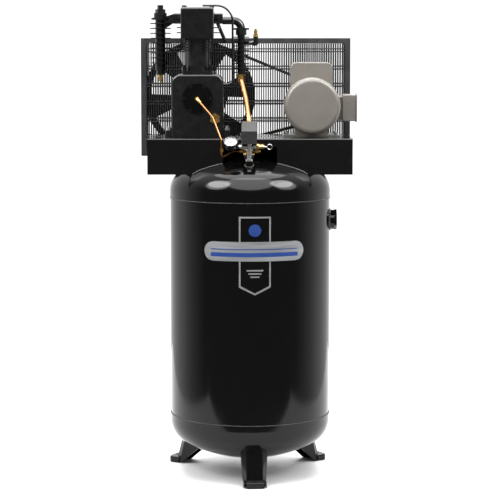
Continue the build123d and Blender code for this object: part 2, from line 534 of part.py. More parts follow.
def cylinders():
    """Two cylinders in line, valve plate, finned head, intake filter and their bolts."""
    x, base = PUMP_X, CASE_TOP
    bolts = []
    for name, y, bore, half, front in (("front_cylinder", FRONT_CYLINDER_Y, BORE_RADIUS, 50.0, True),
                                       ("rear_cylinder", REAR_CYLINDER_Y, REAR_BORE_RADIUS, 58.0, False)):
        depth = 46.5
        body = block((x - 58, y - depth, base), (x + 58, y + depth, base + 13), 9)
        body += rod((x, y, base + 12), (x, y, BARREL_TOP), min(BARREL_RADIUS, depth))
        body += rod((x, y, base + 66), (x, y, base + 82), min(BARREL_RADIUS + 2.5, depth))
        for step in range(5):
            z = base + 88 + step * 10.4
            body += block((x - half, y - depth, z), (x + half, y + depth, z + 4), 10)
        body += block((x - half, y - depth, BARREL_TOP - 8), (x + half, y + depth, BARREL_TOP), 8)
        body -= rod((x, y, base - 1), (x, y, BARREL_TOP + 1), bore)
        for dx in (-50, 50):
            for dy in (-36, 36):
                place = (x + dx, y + dy)
                body -= rod((*place, base - 1), (*place, base + 14), 5.0)
                bolt = rod((*place, base), (*place, base + 13), 5.0)
                bolt += hexagon((*place, base + 13), (*place, base + 27), 17) + rod((*place, base + 27), (*place, base + 33), 5.0)
                bolts.append(bolt)
        save(name, body)

    near, far = FRONT_CYLINDER_Y - 46.5, REAR_CYLINDER_Y + 46.5
    plate = block((x - 56, near, BARREL_TOP), (x + 56, far, PLATE_TOP), 8)
    for y in (FRONT_CYLINDER_Y, REAR_CYLINDER_Y):
        for dx in (-18, 18):
            plate -= rod((x + dx, y, BARREL_TOP - 1), (x + dx, y, PLATE_TOP + 1), 9)
    save("valve_plate", plate)

    head = block((x - 60, FILTER_BACK, PLATE_TOP), (x + 60, far, HEAD_TOP), 12)
    for step in range(4):
        z = PLATE_TOP + 14 + step * 19.0
        head += block((x - 81.5, REAR_CYLINDER_Y - 44, z), (x + 81.5, far, z + 4), 12)
    for sign in (-1, 1):
        inner, outer = sorted((x + sign * 50, x + sign * 82))
        head += block((inner, COOLER_Y - 22, PORT_Z - 20), (outer, COOLER_Y + 22, PORT_Z + 20), 5, Axis.X)
    head -= block((x - 50, FILTER_BACK + 10, PLATE_TOP + 9), (x + 50, far - 10, HEAD_TOP - 9), 6)
    for sign in (-1, 1):
        head -= rod((x + sign * 45, COOLER_Y, PORT_Z), (x + sign * 83, COOLER_Y, PORT_Z), 10)
    for y in (FRONT_CYLINDER_Y, REAR_CYLINDER_Y):
        for dx in (-18, 18):
            head -= rod((x + dx, y, PLATE_TOP - 1), (x + dx, y, PLATE_TOP + 10), 9)
    for dx in (-52, 52):
        for y in (FRONT_CYLINDER_Y + 20, REAR_CYLINDER_Y - 20, REAR_CYLINDER_Y + 34):
            bolt = rod((x + dx, y, HEAD_TOP), (x + dx, y, HEAD_TOP + 1), 9)
            bolts.append(bolt + hexagon((x + dx, y, HEAD_TOP + 1), (x + dx, y, HEAD_TOP + 9), 14))
    save("cylinder_head", head)

    front = CRANKCASE_FRONT
    for dx, dz in around(6, COVER_RADIUS - 7):
        place = PUMP_X + dx, CRANK_Z + dz
        bolt = rod((place[0], front, place[1]), (place[0], front - 12, place[1]), 4.0)
        bolts.append(bolt + hexagon((place[0], front - 12, place[1]), (place[0], front - 17, place[1]), 11))
        back = CRANKCASE_BACK
        bolt = rod((place[0], back, place[1]), (place[0], back + 12, place[1]), 4.0)
        bolts.append(bolt + hexagon((place[0], back + 12, place[1]), (place[0], back + 17, place[1]), 11))
    save("pump_bolts", *bolts)

    low, high = PLATE_TOP - 6, HEAD_TOP + 1
    box = block((x - FILTER_HALF, FILTER_FRONT, low), (x + FILTER_HALF, FILTER_BACK, high))
    box = fillet(box.faces().sort_by(Axis.Y)[0].edges().filter_by(Axis.Z), 9)
    box = fillet(box.faces().sort_by(Axis.Z)[-1].edges(), 8)
    box -= block((x - FILTER_HALF + 4, FILTER_FRONT + 4, low + 4), (x + FILTER_HALF - 4, FILTER_BACK + 1, high - 4), 4)
    box -= block((x - 70, FILTER_CYLINDER_FRONT, low - 1), (x + 70, FILTER_BACK + 1, PLATE_TOP + 0.2))
    for sign in (-1, 1):
        inner, outer = sorted((x + sign * (FILTER_HALF - 5), x + sign * FILTER_HALF))
        box += block((inner, FILTER_FRONT + 6, low - 44), (outer, FILTER_FRONT + 20, low + 8))
    box += rod((x, FILTER_FRONT - 7, low + 58), (x, FILTER_FRONT + 5, low + 58), 6.5)
    save("filter_housing", box)
    save("filter_element", block((x - 50, FILTER_FRONT + 9, low + 14), (x + 50, FILTER_BACK - 3, high - 14), 5, Axis.Y))


def coolers():
    """The two finned tubes beside the head and their flanges."""
    y, top = COOLER_Y, PORT_Z - 1
    x = COOLER_LEFT_X
    tube = rod((x, y, top - 196), (x, y, top + 20), 19.5) + rod((x, y, top - 4), (x, y, top + 4), 35)
    for step in range(9):
        z = top - 20 - step * 18.7
        tube += rod((x, y, z), (x, y, z + 4), 40.6)
    tube += rod((x, y, top + 3), (x, y, top + 22), 25) + hexagon((x, y, top + 22), (x, y, top + 36), 34)
    tube += hexagon((x, y, top + 36), (x, y, top + 52), 20)
    neck = PUMP_X - 82
    arm = make_face(Polyline((x, y, top + 2), (neck - 10, y, PORT_Z + 18), (neck - 10, y, PORT_Z - 16), (x, y, top - 50), close=True))
    tube += extrude(arm, amount=13, both=True, dir=(0, 1, 0))
    tube += block((neck - 12, y - 22, PORT_Z - 20), (neck, y + 22, PORT_Z + 20), 5, Axis.X)
    tube -= rod((x, y, top - 190), (x, y, top + 10), 14)
    tube -= rod((x, y, PORT_Z), (neck + 1, y, PORT_Z), 9)
    tube += rod((x, y, top - 192), (x, y, top - 214), 15)
    save("intercooler", tube)

    x, neck = COOLER_RIGHT_X, PUMP_X + 82
    z = PORT_Z - 7
    pipe_low = z - 205
    bend = pipe([(neck + 11, y, z), (x, y, z), (x, y, z - 60)], 15.5, 32)
    body = bend + block((neck, y - 22, PORT_Z - 20), (neck + 12, y + 22, PORT_Z + 20), 5, Axis.X)
    body += block((x - 31, y - 20, z - 36), (x + 31, y + 20, z - 29), 9)
    body += rod((x, y, z - 34), (x, y, z - 56), 21) + rod((x, y, pipe_low), (x, y, z - 50), 14)
    for step in range(9):
        level = z - 66 - step * 16.8
        body += rod((x, y, level), (x, y, level + 4), 31)
    body += rod((x, y, z - 87), (x + 56, y, z - 87), 7) + hexagon((x + 42, y, z - 87), (x + 62, y, z - 87), 17)
    body += hexagon((x + 56, y, z - 92), (x + 56, y, z - 62), 17)
    body -= rod((x, y, pipe_low - 1), (x, y, z - 40), 9)
    save("aftercooler", body)
    return (COOLER_LEFT_X, y, top - 214), (x + 56, y, z - 62), (x, y, pipe_low)


def relief(x, y, z, up):
    """A brass relief valve standing on a fitting, pointing up or down."""
    body = hexagon((x, y, z), (x, y, z + up * 9), 17) + rod((x, y, z + up * 9), (x, y, z + up * 24), 7)
    return body + rod((x, y, z + up * 24), (x, y, z + up * 30), 4)


def controls():
    """Manifold, pressure switch, gauge, safety valve and the pipes between them."""
    left_end, right_end, after_end = coolers()
    x, y = NIPPLE_X, NIPPLE_Y
    dome = dome_height(x, y)
    arm = dome + 68
    nipple = rod((x, y, dome - 4), (x, y, arm), 8.4) + hexagon((x, y, dome + 15), (x, y, dome + 22), 22)
    nipple += hexagon((x, y, arm - 13), (x, y, arm - 6), 23) + rod((x, y, arm - 8), (x, y, arm + 12), 11)
    nipple += rod((x - 38, y, arm), (x + 26, y, arm), 7.5)
    nipple += hexagon((x - 30, y, arm), (x - 22, y, arm), 19) + hexagon((x + 16, y, arm), (x + 26, y, arm), 19)
    save("manifold", nipple)

    base = arm + 12
    low, high = (x - 29, y - 35, base), (x + 29, y + 30, base + 10)
    save("pressure_switch", block(low, high, 3) + block((x - 20, y - 24, base + 9), (x + 20, y + 14, base + 44)))
    front, back, top = y - 35, y + 30, base + 84
    side = make_face(Polyline((x - 29, front, base + 10.2), (x - 29, back, base + 10.2), (x - 29, back, top),
                              (x - 29, front, top - 36), close=True))
    cover = extrude(side, amount=58, dir=(1, 0, 0))
    cover = fillet(cover.edges().filter_by(lambda e: e.center().Z > base + 20), 3)
    cover -= block((x - 26, front + 3, base), (x + 26, back - 3, base + 46))
    slot_z = base + 30
    cover -= block((x - 8, back - 4, slot_z - 12), (x + 8, back + 1, slot_z + 12))
    save("switch_cover", cover)
    pin_y = back - 9
    lever = rod((x - 5, pin_y, slot_z), (x + 5, pin_y, slot_z), 4) + block((x - 3, pin_y, slot_z - 2.5), (x + 3, back + 16, slot_z + 2.5), 1, Axis.X)
    save("switch_lever", lever)

    tilt = radians(GAUGE_TILT)
    normal = Vector(0, -cos(tilt), sin(tilt))
    stem = Vector(x - 68, y, arm)
    face = stem + normal * 26 + Vector(0, -3, 0)

    def along(depth):
        return tuple(face + normal * depth)

    case = rod(along(-22), along(2), GAUGE_RADIUS) - rod(along(-16), along(3), GAUGE_RADIUS - 2.5)
    case += rod(tuple(stem + Vector(30, 0, 0)), tuple(stem + Vector(-6, 0, 0)), 6.5)
    case += rod(tuple(stem), along(-20), 7)
    save("gauge_case", case)
    inner = GAUGE_RADIUS - 2.5
    save("gauge_dial", rod(along(-16), along(-6), inner) - rod(along(-12), along(-5), 1.0 + RUNNING))
    save("gauge_lens", rod(along(-0.5), along(1.2), inner))
    across = Vector(cos(radians(215)), 0, 0) + normal.cross(Vector(1, 0, 0)) * sin(radians(215))
    plane = Plane(origin=face + normal * -5.2, x_dir=across, z_dir=normal)
    hand = extrude(plane * make_face(Polyline((-6, -1.2), (18, -0.4), (18, 0.4), (-6, 1.2), close=True)), amount=1.0)
    pointer = hand + rod(along(-11.5), along(-3.4), 1.0) + rod(along(-5.2), along(-3.4), 2.6)
    save("gauge_pointer", pointer)

    valve = hexagon((x + 26, y, arm), (x + 36, y, arm), 18) + rod((x + 36, y, arm), (x + 52, y, arm), 8)
    valve += rod((x + 52, y, arm), (x + 62, y, arm), 2.5)
    save("safety_valves", valve, relief(*left_end, -1), relief(*right_end, 1))
    loop = sleeve((x + 52.5, y, arm), (x + 55.0, y, arm), 7, 2.5 + RUNNING)
    for side in (-5, 5):
        loop += rod((x + 54, y + side, arm), (x + 67, y + side, arm), 1.2)
    loop += rod((x + 66, y - 6.4, arm), (x + 66, y + 6.4, arm), 1.9)
    loop += Pos(x + 75.5, y, arm) * Rot(90, 0, 0) * Torus(9.5, 1.4)
    save("safety_ring", loop)

    ax, ay, az = after_end
    nut = hexagon((ax, ay, az), (ax, ay, az - 14), 28) + rod((ax, ay, az - 12), (ax, ay, az - 34), 12)
    nut += hexagon((ax, ay - 6, az - 24), (ax, ay - 26, az - 24), 24)
    check_top = DECK_TOP - DECK_PLATE - 16
    check_nut = sleeve((CHECK_X, CHECK_Y, check_top), (CHECK_X, CHECK_Y, check_top + 9), 14.5, 9.5)
    start = (ax, ay - 26, az - 24)
    route = [start, (ax, ay - 62, az - 24), (ax + 18, ay - 120, az - 90), (CHECK_X, CHECK_Y, DECK_TOP + 70),
             (CHECK_X, CHECK_Y, check_top - 19)]
    save("discharge_tube", pipe(route, 9.5, [16, 50, 60]))
    fx, fy, fz = PUMP_X, CRANKCASE_FRONT - 34, CRANK_Z
    elbow = hexagon((fx, fy, fz), (fx, fy - 10, fz), 16) + rod((fx, fy + 10, fz), (fx, fy, fz), 6.0)
    begin, second = Vector(fx + 12, fy - 18, fz - 14), Vector(x - 136.5, y + 33, arm + 109)
    heading = (second - begin).normalized()
    elbow += rod((fx, fy - 8, fz), tuple(begin - heading * 8), 5.5) + rod(tuple(begin - heading * 10), tuple(begin), 5.5)
    body_low = dome_height(CHECK_X, CHECK_Y) + 12
    side_z = (body_low + check_top) / 2 - 8
    port = (CHECK_X - 21, CHECK_Y, side_z)
    coupling = hexagon((port[0] - 14, CHECK_Y, side_z), (port[0], CHECK_Y, side_z), 12)
    turn = (x - 103, y + 9)
    knee = hexagon((*turn, arm - 7), (*turn, arm - 21), 12)
    lead = [begin, second, (*turn, arm + 24), (*turn, arm - 7)]
    bleed = [(*turn, arm - 21), (*turn, arm - 42), (x - 60, CHECK_Y, side_z), (port[0] - 14, CHECK_Y, side_z)]
    save("unloader_tube", pipe(lead, 3.2, [60, 40]), pipe(bleed, 3.2, [12, 12]))
    save("tube_fittings", nut, check_nut, elbow, coupling, knee)
    top, tall = HEAD_TOP + 7, (PUMP_X + FILTER_HALF + 71, -84)
    vent = [(PUMP_X + 20, -84, top), (tall[0], -84, top), (tall[0], -84, CASE_TOP - 38), (PUMP_X + CRANKCASE_HALF, -84, CASE_TOP - 38)]
    save("breather_tube", pipe(vent, 4.0, [60, 20]))


def motor():
    """Foot-mounted fan-cooled motor with its boxes, pulley and belts."""
    x, z = MOTOR_X, SHAFT_Z
    radius, wall = MOTOR_RADIUS, 6.0
    shell = sleeve((x, MOTOR_SPLIT, z), (x, MOTOR_BACK, z), radius, radius - wall)
    half, reach = FOOT_SPAN_X / 2 + 16, FOOT_SPAN_Y / 2 + 18
    y0, y1 = FOOT_CENTRE_Y - reach, FOOT_CENTRE_Y + reach
    foot = block((x - half, y0, DECK_TOP), (x + half, y1, DECK_TOP + MOTOR_FOOT), 8)
    for y in (y0 + 12, y1 - 17):
        rib = make_face(Polyline((x - 62, y, DECK_TOP + 2), (x + 62, y, DECK_TOP + 2), (x + 62, y, z - 60),
                                 (x - 62, y, z - 60), close=True))
        foot += extrude(rib, amount=6, dir=(0, 1, 0))
    shell += foot - rod((x, y0 - 1, z), (x, y1 + 1, z), radius - 1)
    for fx in (x - FOOT_SPAN_X / 2, x + FOOT_SPAN_X / 2):
        for fy in (FOOT_CENTRE_Y - FOOT_SPAN_Y / 2, FOOT_CENTRE_Y + FOOT_SPAN_Y / 2):
            shell -= rod((fx, fy, DECK_TOP - 1), (fx, fy, DECK_TOP + MOTOR_FOOT + 1), 5.0)
    port = rod((x + radius - 12, 50, z - 11), (x + radius + 30, 50, z - 11), 18)
    save("motor_housing", shell - port)

    bore = MOTOR_SHAFT_RADIUS + 1.0
    ends = []
    for face, sign, hub in ((MOTOR_BACK, 1, 24), (MOTOR_SPLIT, -1, 16)):
        bell = rod((x, face, z), (x, face + sign * 12, z), radius) + rod((x, face + sign * 10, z), (x, face + sign * hub, z), 40)
        bell += rod((x, face, z), (x, face - sign * 5, z), radius - wall)
        bell -= rod((x, face - sign * 6, z), (x, face + sign * 3, z), radius - wall - 8)
        bell += sleeve((x, face + sign * 4, z), (x, face - sign * 10, z), 34, MOTOR_BEARING)
        bell -= rod((x, face - sign * 11, z), (x, face + sign * 5, z), MOTOR_BEARING)
        bell -= rod((x, face, z), (x, face + sign * 40, z), bore)
        ends.append(bell)
    save("end_bells", *ends)
    save("motor_bearings", *[sleeve((x, face + sign * 5, z), (x, face - sign * 9, z), MOTOR_BEARING, MOTOR_SHAFT_RADIUS + RUNNING)
                             for face, sign in ((MOTOR_BACK, 1), (MOTOR_SPLIT, -1))])
    middle = (MOTOR_SPLIT + MOTOR_BACK) / 2
    save("stator", sleeve((x, middle - 55, z), (x, middle + 55, z), radius - wall, 52) - port)
    back = FLYWHEEL_Y + FLYWHEEL_WIDTH / 2 - 4
    rotor = rod((x, MOTOR_SPLIT - 50, z), (x, back, z), MOTOR_SHAFT_RADIUS)
    save("rotor", rotor + rod((x, middle - 54, z), (x, middle + 54, z), 51))

    fan_y = MOTOR_SPLIT - 44
    fan = sleeve((x, fan_y, z), (x, fan_y + 24, z), 24, MOTOR_SHAFT_RADIUS) + sleeve((x, fan_y + 20, z), (x, fan_y + 24, z), 80, 20)
    for turn in range(8):
        blade = Rot(0, turn * 45, 0) * Pos(52, 0, 0) * Box(60, 24, 3)
        fan += Pos(x, fan_y + 12, z) * blade
    fan -= rod((x, fan_y - 1, z), (x, fan_y + 30, z), MOTOR_SHAFT_RADIUS)
    save("cooling_fan", fan)

    outer = FAN_COVER_RADIUS
    cover = rod((x, MOTOR_FRONT, z), (x, MOTOR_SPLIT + 14, z), outer)
    cover = fillet(cover.faces().sort_by(Axis.Y)[0].edges(), 17)
    inside = rod((x, MOTOR_FRONT + 2, z), (x, MOTOR_SPLIT + 15, z), outer - 2)
    inside = fillet(inside.faces().sort_by(Axis.Y)[0].edges(), 15)
    cover -= inside
    for turn in (0, 90, 180, 270):
        spoke = Pos(x, 0, z) * Rot(0, turn + 45, 0) * Pos((radius + outer - 1) / 2, MOTOR_SPLIT + 6, 0)
        cover += spoke * Box(outer - radius - 1, 10, 12)
    save("fan_cover", cover)

    cap_low, cap_high = z + 20, DECK_TOP + CAP_BOX_RISE + 119.5
    near, far = MOTOR_SPLIT + 16, MOTOR_BACK - 30
    box = block((x - CAP_BOX_HALF, near, cap_low), (x + CAP_BOX_HALF, far, cap_high))
    corners = box.faces().sort_by(Axis.Z)[-1].edges().filter_by(Axis.Y)
    box = fillet(corners, 23)
    box = fillet(box.faces().sort_by(Axis.Y)[0].edges().filter_by(lambda e: e.center().Z > cap_low + 2), 3)
    box -= block((x - CAP_BOX_HALF + 2, near + 2, cap_low - 1), (x + CAP_BOX_HALF - 2, far - 2, cap_high - 2), 20, Axis.Y)
    box -= rod((x, near - 1, z), (x, far + 1, z), radius)
    save("capacitor_cover", box)
    can_z = z + radius + 24
    save("capacitors", *[rod((x + side * 32, near + 12, can_z), (x + side * 32, far - 14, can_z), 19) for side in (-1, 1)])

    left = x + radius + 25
    neck = rod((x + radius - 5, 50, z - 11), (left, 50, z - 11), 18) + block((x + radius + 2, 14, z - 56), (left + 1, 86, z + 34), 6, Axis.X)
    neck -= rod((x, y0 - 1, z), (x, y1 + 1, z), radius)
    neck += rod((x + radius - 6, 50, z - 11), (left, 50, z - 11), 18) - rod((x, -100, z), (x, 200, z), radius - wall)
    box = block((left, 0, z - 62), (left + 50, 100, z + 40), 5, Axis.X)
    box -= block((left + 3, 3, z - 59), (left + 51, 97, z + 37))
    box += neck
    box -= rod((x + radius - 20, 50, z - 11), (left + 4, 50, z - 11), 12)
    box -= rod((left + 26, 50, z + 36), (left + 26, 50, z + 41), KNOCKOUT)
    save("conduit_box", box)
    save("conduit_lid", block((left + 50, -3, z - 65), (left + 54, 103, z + 43), 6, Axis.X))

    pulley = rod((x, FLYWHEEL_Y - 20, z), (x, FLYWHEEL_Y + 20, z), PULLEY_RADIUS)
    for y in BELT_YS:
        groove = BELT_WIDTH / 2 + BELT_CLEARANCE
        pulley -= sleeve((x, y - groove, z), (x, y + groove, z), PULLEY_RADIUS + 1, PULLEY_RADIUS - BELT_THICKNESS - 1.5)
    pulley -= sleeve((x, FLYWHEEL_Y + 8, z), (x, FLYWHEEL_Y + 21, z), 58, 30)
    save("motor_pulley", pulley - rod((x, FLYWHEEL_Y - 21, z), (x, FLYWHEEL_Y + 21, z), MOTOR_SHAFT_RADIUS))

    belts = []
    wheels = ((PUMP_X, CRANK_Z, FLYWHEEL_RADIUS), (x, z, PULLEY_RADIUS))
    for y in BELT_YS:
        plane = Plane(origin=(0, y + BELT_WIDTH / 2, 0), x_dir=(1, 0, 0), z_dir=(0, -1, 0))
        loops = []
        for depth in (0.0, BELT_THICKNESS):
            rings = [edge for cx, cz, r in wheels for edge in (Pos(cx, cz) * Circle(r - depth)).edges()]
            loops.append(make_hull(rings))
        belts.append(extrude(plane * (loops[0] - loops[1]), amount=BELT_WIDTH))
    save("drive_belts", *belts)


os.makedirs("parts", exist_ok=True)
tank()
deck()
guard()
crankcase()
crank()
cylinders()
controls()
motor()
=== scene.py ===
"""Finishes, wire work, welds and badge for the vertical tank compressor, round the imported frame. Metres."""
from math import cos, pi, radians, sin, sqrt

import bpy
from mathutils import Matrix, Vector


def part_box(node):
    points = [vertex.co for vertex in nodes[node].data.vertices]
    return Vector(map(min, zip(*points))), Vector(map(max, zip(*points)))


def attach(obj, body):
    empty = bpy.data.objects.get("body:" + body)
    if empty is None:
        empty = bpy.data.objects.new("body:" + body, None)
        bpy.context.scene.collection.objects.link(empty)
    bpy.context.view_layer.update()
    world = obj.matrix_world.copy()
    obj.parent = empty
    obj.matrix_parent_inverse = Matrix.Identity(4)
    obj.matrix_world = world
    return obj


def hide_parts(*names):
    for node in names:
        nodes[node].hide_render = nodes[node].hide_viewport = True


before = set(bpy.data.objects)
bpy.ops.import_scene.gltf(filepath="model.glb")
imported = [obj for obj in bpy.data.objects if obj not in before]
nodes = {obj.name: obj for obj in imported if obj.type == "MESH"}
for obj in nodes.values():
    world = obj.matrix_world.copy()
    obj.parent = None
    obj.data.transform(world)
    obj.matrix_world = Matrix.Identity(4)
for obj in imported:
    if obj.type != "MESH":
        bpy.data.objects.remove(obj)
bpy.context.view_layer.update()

MM = 0.001

# Receiver
HEAD_KNUCKLE = 100 * MM
HEAD_CROWN = 550 * MM
OUTLET_Z = 971 * MM
OUTLET_WELD_RADIUS = 39.5 * MM
NIPPLE = (-3 * MM, -205 * MM)
NIPPLE_WELD_RADIUS = 16 * MM
DECK_WELD_START, DECK_WELD_RUN = 104 * MM, 112 * MM

# Guard wires
UPRIGHT_WIRES = 86
CROSS_LEVELS = (26, 94, 162, 230, 298, 366)
CROSS_PAIR = 5.5 * MM
FRONT_WIRE_RADIUS, REAR_WIRE_RADIUS = 1.7 * MM, 2.3 * MM
CRANK_WINDOW, MOTOR_WINDOW = 52 * MM, 34 * MM

# Badge
BAND_WIDTH, BAND_HEIGHT = 392 * MM, 72 * MM
TAB_WIDTH, TAB_HEIGHT, TAB_RIM = 106 * MM, 250 * MM, 12 * MM
BADGE_TURN = radians(3.4)
BADGE_RISE = 237 * MM

# Gauge
GAUGE_TILT = radians(50)
GAUGE_TICKS, GAUGE_SWEEP, GAUGE_ZERO = 25, 270, 225
CARD_DEPTH = 6.1 * MM

# Stage
FLOOR_SIZE = (3.4, 3.8)
FLOOR_BEHIND = 0.8
CAMERA_PLACE = (0, -7.053, 1.6514)
CAMERA_DIP = 5.223
LAMPS = (  # name, place, size and power; a card shows in reflections only
    ("key_box", (-3.0, -2.2, 3.8), 2.6, 130),
    ("fill_box", (3.2, -2.0, 3.6), 2.4, 90),
    ("top_box", (0, 0.5, 5.5), 4.5, 260),
    ("back_box", (0, 4.5, 3.5), 3.0, 90),
    ("left_card", (-2.0, -1.5, 3.3), 1.7, 95),
    ("right_card", (2.0, -1.4, 3.3), 1.7, 110),
    ("dome_card", (0, -2.6, 4.4), 4.6, 260),
)


def span(node):
    """Lowest corner, highest corner and middle of a node."""
    low, high = (Vector(corner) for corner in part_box(node))
    return low, high, (low + high) / 2


def linear(text):
    """A hex colour as linear red, green, blue and alpha."""
    parts = [int(text[i:i + 2], 16) / 255 for i in (1, 3, 5)]
    return (*[c / 12.92 if c <= 0.04045 else ((c + 0.055) / 1.055) ** 2.4 for c in parts], 1.0)


def add(tree, kind, links=None, **settings):
    """Adds a node with its settings; links maps an input to a value or to another node's output."""
    node = tree.nodes.new(kind)
    for name, value in settings.items():
        setattr(node, name, value)
    for socket, value in (links or {}).items():
        if isinstance(value, bpy.types.NodeSocket):
            tree.links.new(value, node.inputs[socket])
        else:
            node.inputs[socket].default_value = value
    return node


def finish(name, dark, light, mottle, rough, grain, relief, stretch=(1, 1, 1), **shader):
    """A finish with slow colour change, uneven gloss and a fine relief. Sizes in millimetres."""
    made = bpy.data.materials.new(name)
    made.use_nodes = True
    tree = made.node_tree
    tree.nodes.clear()
    place = add(tree, "ShaderNodeTexCoord").outputs["Object"]
    place = add(tree, "ShaderNodeMapping", {"Vector": place, "Scale": stretch}).outputs["Vector"]
    slow = add(tree, "ShaderNodeTexNoise", {"Vector": place, "Scale": 1 / (mottle * MM), "Detail": 3.0})
    fine = add(tree, "ShaderNodeTexNoise", {"Vector": place, "Scale": 1 / (grain * MM), "Detail": 2.0})
    colour = add(tree, "ShaderNodeMix", {"Factor": slow.outputs["Fac"]}, data_type="RGBA")
    colour.inputs["A"].default_value = linear(dark)
    colour.inputs["B"].default_value = linear(light)
    gloss = add(tree, "ShaderNodeMapRange", {"Value": slow.outputs["Fac"], "From Min": 0.3, "From Max": 0.7,
                                             "To Min": rough[0], "To Max": rough[1]})
    depth = relief * MM
    bump = add(tree, "ShaderNodeBump", {"Height": fine.outputs["Fac"], "Distance": depth, "Strength": 1.0})
    body = add(tree, "ShaderNodeBsdfPrincipled", {"Base Color": colour.outputs["Result"],
                                                  "Roughness": gloss.outputs["Result"],
                                                  "Normal": bump.outputs["Normal"], **shader})
    add(tree, "ShaderNodeOutputMaterial", {"Surface": body.outputs["BSDF"]})
    return made


def oven_enamel():
    """Gloss black enamel sprayed on steel: deep black, mirror-like, with a faint orange peel."""
    return finish("gloss_black_enamel", "#070707", "#0a0a0a", 90, (0.07, 0.12), 9, 0.035, IOR=1.32)


def deck_enamel():
    """The same enamel on flat plate, duller because it was sprayed thin."""
    return finish("deck_black_enamel", "#0a0a0a", "#0e0e0e", 60, (0.12, 0.2), 4, 0.05, IOR=1.4)


def guard_enamel():
    """Powder-coated guard steel: satin, slightly grey."""
    return finish("guard_powder_coat", "#262627", "#303031", 50, (0.34, 0.44), 1.6, 0.06)


def backlit_wire_paint():
    """Guard wire in the same powder coat, coloured a lighter grey as painted light for the back lamp falling
    on it.
    """
    return finish("guard_wire_painted_backlight", "#57555a", "#6a686d", 50, (0.4, 0.5), 1.6, 0.06)


def painted_casting():
    """Sand-cast iron under black paint: soft grain that breaks the gloss."""
    return finish("painted_black_casting", "#0e0e0e", "#141414", 25, (0.16, 0.28), 3.4, 0.1)


def black_sheet():
    """Pressed sheet under semi-gloss black paint."""
    return finish("black_painted_sheet", "#0b0b0b", "#101010", 30, (0.14, 0.22), 3, 0.05)


def motor_enamel():
    """Warm grey stoved enamel on the motor's pressings."""
    return finish("warm_grey_enamel", "#7d7871", "#86817a", 45, (0.34, 0.42), 2.2, 0.05)


def bright_zinc():
    """Zinc-plated bolts: bright, faintly blue, fine turned grain."""
    return finish("bright_zinc", "#b9bbba", "#d6d6d2", 6, (0.2, 0.32), 0.6, 0.02, Metallic=1.0)


def machined_steel():
    """Turned steel with lathe lines across the shafts."""
    return finish("turned_steel", "#8d8d8c", "#a9a9a6", 12, (0.22, 0.36), 0.8, 0.02, (1, 8, 1), Metallic=1.0)


def turned_brass():
    """Turned brass fittings, bright on the flats and browner in the hollows."""
    return finish("turned_brass", "#b28a45", "#e3c07a", 9, (0.16, 0.3), 0.7, 0.03, Metallic=1.0)


def drawn_copper():
    """Drawn copper tube: warm, with long soft streaks."""
    return finish("drawn_copper", "#8f5f3c", "#b58459", 22, (0.26, 0.38), 1.2, 0.02, (1, 1, 0.2),
                  Metallic=1.0)


def cast_alloy():
    """Die-cast aluminium: pale, matt grain."""
    return finish("cast_alloy", "#a2a3a3", "#b9b9b8", 10, (0.4, 0.55), 1.0, 0.06, Metallic=1.0)


def belt_rubber():
    """Fabric-wrapped rubber belt, dusty on its flanks."""
    return finish("belt_rubber", "#161616", "#262524", 8, (0.65, 0.8), 0.9, 0.1)


def moulded_black():
    """Moulded black plastic with a fine spark-eroded grain."""
    return finish("moulded_black_plastic", "#131313", "#1b1b1b", 12, (0.38, 0.5), 0.8, 0.06)


def sloped_grey():
    """Grey painted top of the switch cover."""
    return finish("grey_switch_top", "#3b3a39", "#454443", 10, (0.5, 0.6), 0.8, 0.04,
                  **{"Specular IOR Level": 0.25})


def filter_paper():
    """Pleated filter paper."""
    return finish("filter_paper", "#b9ab83", "#cfc39c", 6, (0.8, 0.9), 0.7, 0.15)


def dial_white():
    """Printed white dial card under the lens."""
    return finish("dial_white", "#8f8f8c", "#9a9a97", 20, (0.5, 0.6), 1.0, 0.01)


def dial_ink():
    """Black dial print and needle."""
    return finish("dial_ink", "#101012", "#17171a", 5, (0.45, 0.55), 0.6, 0.01)


def lens_glass():
    """Thin clear lens."""
    return finish("clear_lens", "#f8f8f8", "#ffffff", 30, (0.01, 0.03), 5, 0.001,
                  IOR=1.45, **{"Transmission Weight": 1.0})


def badge_silver():
    """Satin silver foil of the badge, brushed lengthways."""
    return finish("badge_silver", "#b8bbbf", "#d8dadc", 30, (0.28, 0.4), 0.8, 0.02, (0.2, 0.2, 4),
                  Metallic=0.85)


def badge_blue():
    """Deep blue enamel stripe."""
    return finish("badge_blue", "#1d3f86", "#274c98", 20, (0.3, 0.4), 1.0, 0.01)


def weld_metal():
    """Weld beads under the same black enamel, mottled with lighter grey as a painted highlight along the
    beads.
    """
    return finish("weld_painted_highlight", "#1c1c1c", "#5a5a58", 5, (0.16, 0.3), 1.5, 0.2, Metallic=0.3)


